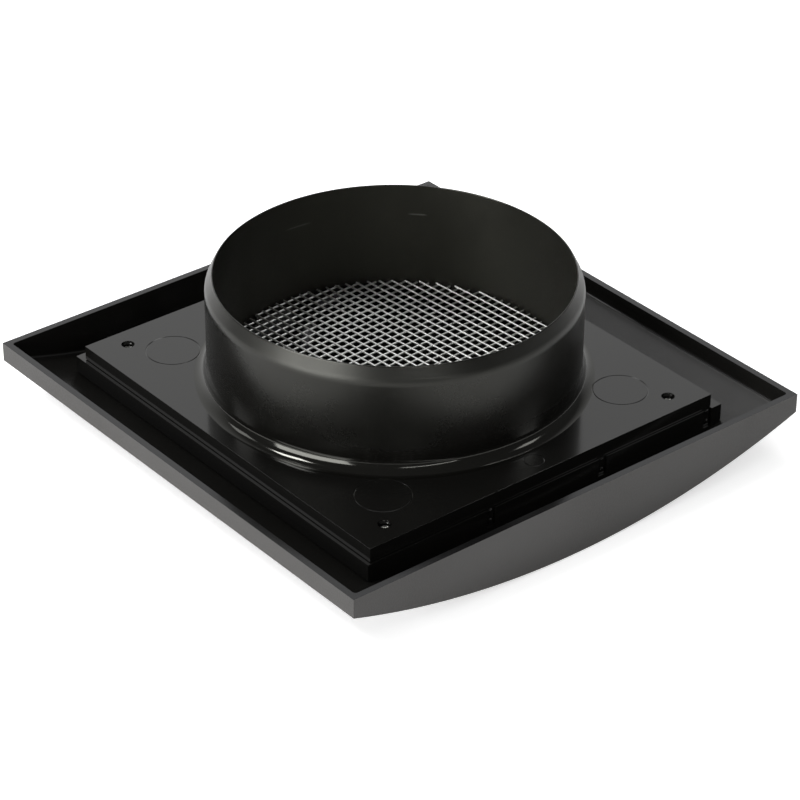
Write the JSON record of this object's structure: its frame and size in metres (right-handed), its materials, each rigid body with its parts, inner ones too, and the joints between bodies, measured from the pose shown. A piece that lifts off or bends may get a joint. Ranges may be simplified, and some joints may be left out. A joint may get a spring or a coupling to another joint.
{
  "type": "exhaust hood vent",
  "caption": "Square black plastic wall vent with a bowed cover, a spacer frame, a back plate with a round duct spigot and a wire insect screen.",
  "frame": {"origin": "on the floor under the middle of the bowed cover, which is the vent's lowest point", "axes": "+Z towards the wall, out of the duct spigot; +X across the bow; +Y along the bow, the cover's longer side"},
  "size_m": [0.224, 0.2294, 0.0724],
  "materials": {
    "satin_black_plastic": "satin",
    "gloss_black_plastic": "glossy as moulded",
    "zinc_steel": "zinc plated",
    "steel_wire": "drawn wire"
  },
  "bodies": {
    "root": {"front_cover": "satin_black_plastic", "spacer_frame": "gloss_black_plastic", "back_plate": "gloss_black_plastic", "plate_screw_1": "zinc_steel", "plate_screw_2": "zinc_steel", "plate_screw_3": "zinc_steel", "plate_screw_4": "zinc_steel", "wire_screen": "steel_wire"}
  },
  "joints": []
}
